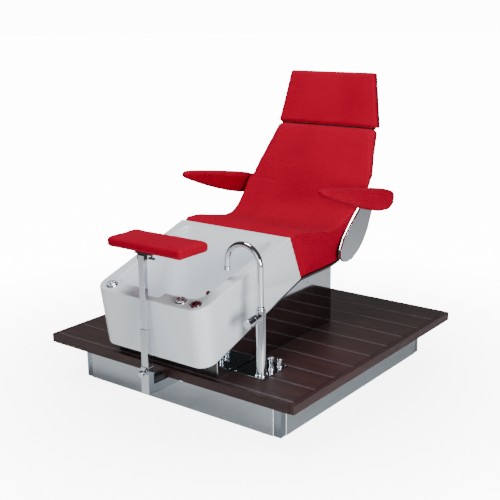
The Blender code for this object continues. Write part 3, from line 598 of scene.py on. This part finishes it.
def seam(name, corners, host):
    """A sewn seam: a thread that follows the host's skin near a line of corner points."""
    tree = BVHTree.FromObject(host, bpy.context.evaluated_depsgraph_get())
    route = []
    for point in dense(corners, SEAM_STEP):
        near, normal, _, _ = tree.find_nearest(point)
        route.append(near - normal * SEAM_INSET)
    for _ in range(SEAM_ROUNDS):
        inner = [(a + b * 2 + c) / 4 for a, b, c in zip(route, route[1:], route[2:])]
        route = [route[0]] + inner + [route[-1]]
    tube(name, route, SEAM_RADIUS, SEAM, host["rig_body"])


def turned(name, profile, base, axis, material, body, sides=56):
    """A turned piece from (radius, height) points, standing on base along axis."""
    bm = bmesh.new()
    rings = []
    for radius, height in profile:
        if radius < 1e-6:
            rings.append([bm.verts.new((0, 0, height))])
            continue
        rings.append([bm.verts.new((radius * math.cos(2 * math.pi * side / sides),
                                    radius * math.sin(2 * math.pi * side / sides), height))
                      for side in range(sides)])
    for lower, upper in zip(rings, rings[1:]):
        for side in range(sides):
            other = (side + 1) % sides
            corners = [lower[side % len(lower)], lower[other % len(lower)],
                       upper[other % len(upper)], upper[side % len(upper)]]
            bm.faces.new(list(dict.fromkeys(corners)))
    turn = UP.rotation_difference(Vector(axis)).to_matrix().to_4x4()
    bm.transform(Matrix.Translation(Vector(base)) @ turn)
    return from_bmesh(name, bm, material, body)


def chromed(name, profile, base, axis, body="platform", sides=56):
    """A turned piece in chrome."""
    return turned(name, profile, base, axis, MATERIALS["chrome"], body, sides)


def bars(name, boxes, material, body, bevel):
    """Several straight bars as one piece, each given by its lowest and highest corner."""
    bm = bmesh.new()
    for low, high in boxes:
        low, high = Vector(low), Vector(high)
        made = bmesh.ops.create_cube(bm, size=1.0,
                                     matrix=Matrix.LocRotScale((low + high) / 2, None, high - low))
        edges = list({edge for vert in made["verts"] for edge in vert.link_edges})
        bmesh.ops.bevel(bm, geom=edges, offset=bevel, segments=2, profile=0.5, affect="EDGES")
    flat_faces(from_bmesh(name, bm, material, body))


# ---------------------------------------------------------------- upholstery

# Where each cushion rests, told from the way its CAD surface faces

def faces_shell(normal):
    return normal.z < -0.25 or normal.y > 0.30


def faces_back(normal):
    return normal.y > 0.45


def faces_down(normal):
    return normal.z < -0.60


def nothing(normal):
    return False


def edge_line(node, side):
    """The upper, outer corner line of a sheet-like CAD cushion on one side, from front to back."""
    bm = cad_bmesh(node)
    tops = {}
    for vert in bm.verts:
        if vert.co.x * side <= 0:
            continue
        facing = max((face.normal.z - face.normal.y for face in vert.link_faces), default=0)
        if facing > 0.9:
            tops[(round(vert.co.y, 4), round(vert.co.z, 4))] = vert.co.copy()
    bm.free()
    return [tops[key] for key in sorted(tops)]


def upholstery():
    """The five padded pieces and their seams."""
    seat = cushion("seat_cushion", "seat_upholstery", SEAT_VOXEL, rounds=2, cap=0.009, proud=0.0030,
                   rests=faces_shell, evened=6)
    cushion("headrest_cushion", "headrest_upholstery", PAD_VOXEL, rounds=2, cap=0.007, proud=0.0015,
            rests=faces_back)
    leg = cushion("legrest_pad", "legrest_upholstery", PAD_VOXEL, rounds=5, cap=0.008, proud=0.003,
                  rests=faces_down)
    for side, sign in SIDES:
        node = f"armrest_pad_{side}"
        arm = cushion(node, f"armrest_upholstery_{side}", PAD_VOXEL, rounds=3, cap=0.006, proud=0.0025,
                      rests=nothing)
        low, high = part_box(node)
        outer = high.x if sign > 0 else low.x
        edge = [Vector((min(abs(point.x), abs(outer) - ARM_SEAM_IN) * sign, point.y, point.z))
                for point in edge_line(node, sign) if abs(point.x) > ARM_SEAM_FROM]
        if len(edge) > 2:
            seam(f"armrest_seam_{side}", edge, arm)
        seam(f"seat_seam_{side}", edge_line("seat_cushion", sign), seat)
    low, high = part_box("legrest_pad")
    z = low.z + LEG_SEAM_UP
    ring = [(low.x, low.y, z), (high.x, low.y, z), (high.x, high.y, z), (low.x, high.y, z),
            (low.x, low.y, z)]
    seam("legrest_seam", ring, leg)


# ---------------------------------------------------------------- basin

def basin():
    """The moulded basin: the CAD shape with every edge rounded, and its flat walls kept flat."""
    voxel = BASIN_VOXEL
    piece = remeshed("basin", "basin_moulded", voxel, BASIN_ROUNDS)
    tree = cad_tree("basin")
    facing = [vert.normal.copy() for vert in piece.data.vertices]
    for vert, way in zip(piece.data.vertices, facing):
        near, normal, _, distance = tree.find_nearest(vert.co)
        if distance < FLAT_NEAR and way.dot(normal) > FLAT_FACING:
            vert.co = near
    stand_in(piece, "basin", "basin_white")


def controls():
    """Chrome collars on the basin's shelf, the two fluted chrome knobs and the lit button's lens."""
    collar = [(0.0207, 0.0), (0.0246, 0.0), (0.0250, 0.0010), (0.0244, 0.0026), (0.0226, 0.0036),
              (0.0210, 0.0030), (0.0207, 0.0)]
    bezel = [(0.0177, 0.0), (0.0246, 0.0), (0.0250, 0.0012), (0.0240, 0.0032), (0.0212, 0.0046),
             (0.0186, 0.0044), (0.0177, 0.0036), (0.0177, 0.0)]
    cap = [(0.0, -0.013), (0.0115, -0.013), (0.0115, 0.0012), (0.0200, 0.0012), (0.0203, 0.0030),
           (0.0198, 0.0072), (0.0186, 0.0100), (0.0164, 0.0112), (0.0136, 0.0104), (0.0120, 0.0076),
           (0.0100, 0.0066), (0.0, 0.0066)]
    lens = [(0.0, 0.0042), (0.0150, 0.0042), (0.0171, 0.0050), (0.0171, 0.0058),
            (0.0158, 0.0080), (0.0122, 0.0102), (0.0066, 0.0116), (0.0, 0.0120)]
    for name in ("drain_knob", "air_knob"):
        joint = JOINTS[f"{name}_turn"]
        base, axis = Vector(joint["pos_m"]), Vector(joint["axis"])
        chromed(f"{name}_collar", collar, base, axis)
        knob = chromed(f"{name}_cap", cap, base, axis, name)
        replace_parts(knob, name)
        flute(knob, base, axis, beyond=0.0190, count=10, depth=0.05)
        side = axis.cross(Vector((1, 0, 0))).normalized().lerp(Vector((1, 0, 0)), 0.4).normalized()
        top = base + axis * 0.0094
        grip = [top - side * 0.0150, top - side * 0.006, top + side * 0.006, top + side * 0.0150]
        tube(f"{name}_grip", grip, 0.0030, MATERIALS["chrome"], name, 16)
    axis = -Vector(JOINTS["lit_button_press"]["axis"])
    low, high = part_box("lit_button")
    base = Vector(JOINTS["air_knob_turn"]["pos_m"])
    base.x = (low.x + high.x) / 2
    chromed("lit_button_bezel", bezel, base, axis)
    dome = turned("lit_button_lens", lens, base, axis, MATERIALS["red_lens"], "lit_button")
    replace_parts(dome, "lit_button")


def flute(piece, base, axis, beyond, count, depth):
    """Press shallow flutes into a turned piece, where it is wider than beyond."""
    side = axis.orthogonal().normalized()
    other = axis.cross(side)
    for vert in piece.data.vertices:
        offset = vert.co - base
        across = offset - axis * offset.dot(axis)
        if across.length > beyond:
            angle = math.atan2(across.dot(other), across.dot(side))
            vert.co -= across * depth * (0.5 + 0.5 * math.cos(count * angle))


# ---------------------------------------------------------------- tap

def tap():
    """The tap's column, its mixer handle on one side and the bent spout on top."""
    swivel = Vector(JOINTS["spout_swivel"]["pos_m"])
    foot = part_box("tap_body")[0].z
    x, y, top = swivel
    column = [(0.0, foot), (0.0255, foot), (0.0258, foot + 0.003), (0.0240, foot + 0.0062),
              (0.0204, foot + 0.0078), (0.0195, foot + 0.0110), (0.0195, top - 0.0035),
              (0.0186, top - 0.0008), (0.0165, top), (0.0, top)]
    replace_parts(chromed("tap_column", column, (x, y, 0), UP), "tap_body")
    lever = JOINTS["mixer_turn"]
    axis, start = Vector(lever["axis"]), Vector(lever["pos_m"])
    socket = [(0.0, -0.020), (0.0160, -0.020), (0.0162, 0.0105), (0.0150, 0.0118), (0.0, 0.0118)]
    chromed("tap_socket", socket, start, axis)
    grip = [(0.0, 0.0125), (0.0172, 0.0125), (0.0184, 0.0138), (0.0185, 0.0258), (0.0174, 0.0268),
            (0.0174, 0.0282), (0.0185, 0.0292), (0.0185, 0.0630), (0.0176, 0.0652), (0.0155, 0.0660),
            (0.0120, 0.0655), (0.0, 0.0652)]
    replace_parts(chromed("mixer_grip", grip, start, axis, "mixer_handle"), "mixer_handle")

    low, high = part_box("spout")
    radius = 0.012
    reach = (high.x - low.x - 2 * radius) / 2
    bend = high.z - radius - reach
    tip_low, tip_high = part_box("aerator")
    route = [Vector((x, y, top + 0.0004)), Vector((x, y, (top + bend) / 2))]
    for step in range(33):
        angle = math.pi * step / 32
        route.append(Vector((x - reach + reach * math.cos(angle), y, bend + reach * math.sin(angle))))
    route.append(Vector((x - 2 * reach, y, tip_high.z + 0.0004)))
    pipe = tube("spout_pipe", route, radius, MATERIALS["chrome"], "spout", 28)
    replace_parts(pipe, "spout")
    collar = [(0.0122, 0.0006), (0.0150, 0.0006), (0.0158, 0.0016), (0.0156, 0.0070), (0.0144, 0.0092),
              (0.0122, 0.0098), (0.0122, 0.0006)]
    chromed("spout_collar", collar, swivel, UP, "spout")
    nozzle = [(0.0080, 0.0), (0.0126, 0.0), (0.0135, 0.0010), (0.0135, 0.0045), (0.0130, 0.0052),
              (0.0130, 0.0062), (0.0135, 0.0070), (0.0135, 0.0138), (0.0126, 0.0150), (0.0080, 0.0150),
              (0.0080, 0.0)]
    tip = chromed("aerator_ring", nozzle, (x - 2 * reach, y, tip_low.z), UP, "spout")
    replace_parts(tip, "aerator")


def valves():
    """Stop valves with fluted hand wheels."""
    for name in ("cold", "hot"):
        joint = JOINTS[f"valve_{name}_turn"]
        x, y, top = joint["pos_m"]
        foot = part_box(f"valve_{name}")[0].z
        stem = [(0.0, foot), (0.0122, foot), (0.0125, foot + 0.0036), (0.0112, foot + 0.0058),
                (0.0086, foot + 0.0066), (0.0086, top - 0.010), (0.0098, top - 0.009),
                (0.0098, top - 0.003), (0.0086, top - 0.002), (0.0085, top), (0.0, top)]
        body = chromed(f"valve_stem_{name}", stem, (x, y, 0), UP, sides=32)
        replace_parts(body, f"valve_{name}")
        profile = [(0.0, 0.0006), (0.0100, 0.0006), (0.0128, 0.0030), (0.0128, 0.0100), (0.0112, 0.0124),
                   (0.0060, 0.0132), (0.0, 0.0134)]
        wheel = chromed(f"valve_wheel_{name}", profile, (x, y, top), UP, f"valve_knob_{name}", 48)
        flute(wheel, Vector((x, y, top)), UP, beyond=0.0118, count=6, depth=0.12)
        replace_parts(wheel, f"valve_knob_{name}")


# ---------------------------------------------------------------- platform details

def groove_middles():
    """The y of each groove's middle, read from the CAD panel's own edges, and the deck's top."""
    bm = cad_bmesh("deck_panel")
    low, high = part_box("deck_panel")
    least, most = GROOVE_DEPTHS
    floors = sorted({round(vert.co.y, 4) for vert in bm.verts
                     if high.z - most < vert.co.z < high.z - least and vert.co.x < low.x + 0.001})
    bm.free()
    return [(near + far) / 2 for near, far in zip(floors[0::2], floors[1::2])], high.z


def tread_strips():
    """Each groove holds a smooth lacquered strip with a thin rib along each side."""
    rows, top = groove_middles()
    low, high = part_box("deck_panel")
    left, right = low.x + STRIP_END, high.x - STRIP_END
    ribs, floors = [], []
    for y in rows:
        for offset in (-RIB_OUT, RIB_OUT):
            ribs.append(((left, y + offset - RIB_HALF, top - STRIP_FOOT),
                         (right, y + offset + RIB_HALF, top + RIB_PROUD)))
        floors.append(((left, y - FLOOR_HALF, top - STRIP_FOOT), (right, y + FLOOR_HALF, top - FLOOR_SUNK)))
    bars("tread_ribs", ribs, STRIP, "platform", 0.0004)
    bars("tread_floors", floors, STRIP, "platform", 0.0003)


def neck_tongues():
    """Two near-black tongues in the gap under the headrest, one on each side: painted shade where the gap's
    shadow falls.
    """
    course = Vector((0, math.sin(HEAD_LEAN), math.cos(HEAD_LEAN)))
    behind = Vector((0, math.cos(HEAD_LEAN), -math.sin(HEAD_LEAN)))
    points = [vert.co for vert in frame["nodes"]["headrest_cushion"].data.vertices]
    foot = min(point.dot(course) for point in points)
    front = min(point.dot(behind) for point in points)
    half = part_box("headrest_cushion")[1].x - TONGUE_SIDE
    turn = Matrix((Vector((1, 0, 0)), behind, course)).transposed().to_4x4()
    for name, node, near, low, high in TONGUES:
        middle = behind * (front + near + TONGUE_DEEP / 2) + course * (foot + (low + high) / 2)
        bm = bmesh.new()
        bmesh.ops.create_cube(bm, size=1.0)
        bmesh.ops.scale(bm, vec=(2 * half, TONGUE_DEEP, high - low), verts=bm.verts)
        bmesh.ops.bevel(bm, geom=bm.edges[:], offset=0.0004, segments=2, profile=0.5, affect="EDGES")
        bm.transform(Matrix.Translation(middle) @ turn)
        flat_faces(from_bmesh(name, bm, GAP_SHADE_CLOTH, BODY_OF[node]))


def small_screws():
    """Round-headed screws on the pedestal's sides and on the tap plate."""
    head = [(0.0, 0.0016), (0.0016, 0.0015), (0.0027, 0.0010), (0.0031, 0.0), (0.0, 0.0)]
    for side, sign in SIDES:
        low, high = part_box(f"pedestal_{side}")
        face = low.x if sign < 0 else high.x
        rear, top = high.y - PANEL_SCREW_IN, high.z - PANEL_SCREW_IN
        places = ((rear, top), (rear, low.z + PANEL_SCREW_IN), (high.y - PANEL_SCREW_FAR, top))
        for index, (y, z) in enumerate(places):
            turned(f"pedestal_screw_{side}_{index}", head, (face, y, z), (sign, 0, 0),
                   MATERIALS["frame_steel"], "platform", 20)
    low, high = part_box("tap_plate")
    places = [(x, y) for x in (low.x + PLATE_SCREW_IN, high.x - PLATE_SCREW_IN)
              for y in (low.y + PLATE_SCREW_IN, high.y - PLATE_SCREW_IN)]
    for index, (x, y) in enumerate(places):
        chromed(f"plate_screw_{index}", head, (x, y, high.z), UP, sides=20)


def bracket_trim():
    """The armrest pins' caps on the inner face of each bracket."""
    cap = [(0.0, 0.0030), (0.0090, 0.0028), (0.0120, 0.0018), (0.0130, 0.0002), (0.0, 0.0002)]
    for side, sign in SIDES:
        pin = Vector(JOINTS[f"armrest_{side}_lift"]["pos_m"])
        low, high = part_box(f"armrest_bracket_{side}")
        inner = low.x if sign > 0 else high.x
        chromed(f"bracket_cap_{side}", cap, (inner, pin.y, pin.z), (-sign, 0, 0), f"armrest_{side}", 32)


def plain_metalwork():
    """Sheet and tube pieces in their CAD shape, with their edges eased by the widths given here."""
    for node, width in (
        ("deck_edge_left", 0.0016), ("deck_edge_right", 0.0016),
        ("plinth_front", 0.0003), ("plinth_rear", 0.0003),
        ("plinth_left", 0.0003), ("plinth_right", 0.0003),
        ("pedestal_left", 0.0010), ("pedestal_right", 0.0010), ("pedestal_rear", 0.0010),
        ("tap_plate", 0.0006), ("armrest_bracket_left", 0.0012), ("armrest_bracket_right", 0.0012),
        ("legrest_arm", 0.0008), ("legrest_outer_tube", 0.0009), ("legrest_middle_tube", 0.0009),
        ("legrest_upper_tube", 0.0009), ("legrest_stop", 0.0025), ("legrest_pad_plate", 0.0008),
        ("tilt_handle", 0.0008), ("headrest_shell", 0.0018), ("headrest_knuckle", 0.0006),
        ("headrest_hinge_left", 0.0006), ("headrest_hinge_right", 0.0006), ("control_box", 0.003),
    ):
        softened(node, width)


def paint_frame():
    """Every CAD node that is still shown gets the detailed material of its slot."""
    for name, node in frame["nodes"].items():
        node.data.materials.clear()
        node.data.materials.append(MATERIALS[SLOT_OF[name]])


# ---------------------------------------------------------------- studio

def only_seen(tree, strength, mirrored=0.0):
    """A light strength for camera rays, and the mirrored share of it for reflections."""
    path = tree.nodes.new("ShaderNodeLightPath")
    share = tree.nodes.new("ShaderNodeMath")
    share.operation = "MULTIPLY_ADD"
    share.inputs[1].default_value = mirrored
    tree.links.new(path.outputs["Is Glossy Ray"], share.inputs[0])
    tree.links.new(path.outputs["Is Camera Ray"], share.inputs[2])
    gain = tree.nodes.new("ShaderNodeMath")
    gain.operation = "MULTIPLY"
    tree.links.new(share.outputs["Value"], gain.inputs[0])
    if isinstance(strength, (int, float)):
        gain.inputs[1].default_value = strength
    else:
        tree.links.new(strength, gain.inputs[1])
    return gain.outputs["Value"]


def white_floor():
    """A glossy white floor that glows towards the camera."""
    bm = bmesh.new()
    bmesh.ops.create_circle(bm, cap_ends=True, radius=FLOOR_RADIUS, segments=96)
    mesh = bpy.data.meshes.new("floor")
    bm.to_mesh(mesh)
    bm.free()
    floor = bpy.data.objects.new("floor", mesh)
    floor.location.z = -FLOOR_DROP
    bpy.context.scene.collection.objects.link(floor)
    look = Shader("floor_white", (0.90, 0.90, 0.90), 0.22, Specular_IOR_Level=0.5)
    look.rough(look.spread(look.noise(2.0), 0.20, 0.25))
    reach = look.node("ShaderNodeVectorMath", operation="LENGTH")
    look.link(look.place, reach, "Vector")
    glow = look.spread(reach.outputs["Value"], FLOOR_NEAR, FLOOR_FAR, *FLOOR_GLOW)
    look.set("Emission Color", (1.0, 1.0, 1.0, 1.0))
    look.link(only_seen(look.tree, glow, FLOOR_MIRRORED), look.principled, "Emission Strength")
    mesh.materials.append(look.material)


def sky():
    """A white backdrop, and for lighting a room that is bright low down and greyer overhead."""
    world = bpy.data.worlds.new("studio")
    bpy.context.scene.world = world
    world.use_nodes = True
    tree = world.node_tree
    background = tree.nodes["Background"]
    split = tree.nodes.new("ShaderNodeSeparateXYZ")
    ramp = tree.nodes.new("ShaderNodeValToRGB")
    set_stops(ramp, [(position, (grey, grey, grey)) for position, grey in ROOM])
    place = tree.nodes.new("ShaderNodeTexCoord")
    tree.links.new(place.outputs["Generated"], split.inputs["Vector"])
    tree.links.new(split.outputs["Z"], ramp.inputs["Fac"])
    tree.links.new(ramp.outputs["Color"], background.inputs["Color"])
    aside = tree.nodes.new("ShaderNodeVectorMath")
    aside.operation = "DOT_PRODUCT"
    aside.inputs[1].default_value = SIDE_WAY
    tree.links.new(place.outputs["Generated"], aside.inputs[0])
    far_aside = tree.nodes.new("ShaderNodeMath")
    far_aside.operation = "ABSOLUTE"
    tree.links.new(aside.outputs["Value"], far_aside.inputs[0])
    dim = tree.nodes.new("ShaderNodeMapRange")
    set_range(dim, *SIDE_RANGE, 1.0, SIDE_DARK)
    tree.links.new(far_aside.outputs["Value"], dim.inputs["Value"])
    total = tree.nodes.new("ShaderNodeMath")
    tree.links.new(dim.outputs["Result"], total.inputs[1])
    tree.links.new(only_seen(tree, BACKDROP), total.inputs[0])
    tree.links.new(total.outputs["Value"], background.inputs["Strength"])


def studio():
    """The floor, the sky and the lamps."""
    white_floor()
    sky()
    for name, place, target, size, energy in LIGHTS:
        light = bpy.data.lights.new(name, "AREA")
        light.size = size
        light.energy = energy
        lamp = bpy.data.objects.new(name, light)
        lamp.location = place
        lamp.rotation_euler = (Vector(target) - Vector(place)).to_track_quat("-Z", "Y").to_euler()
        bpy.context.scene.collection.objects.link(lamp)


def camera():
    """The camera, looking against CAMERA_BACK."""
    back = Vector(CAMERA_BACK).normalized()
    right = Vector((-back.y, back.x, 0.0)).normalized()
    up = back.cross(right)
    turn = Matrix.Rotation(CAMERA_ROLL, 3, "Z")
    axes = Matrix((right, up, back)).transposed() @ turn
    data = bpy.data.cameras.new("camera")
    data.sensor_width = CAMERA_SENSOR
    data.lens = CAMERA_LENS
    eye = bpy.data.objects.new("camera", data)
    eye.matrix_world = Matrix.Translation(CAMERA_AT) @ axes.to_4x4()
    bpy.context.scene.collection.objects.link(eye)
    bpy.context.scene.camera = eye


camera()
studio()
paint_frame()
plain_metalwork()
basin()
controls()
tap()
valves()
tread_strips()
neck_tongues()
small_screws()
bracket_trim()
upholstery()
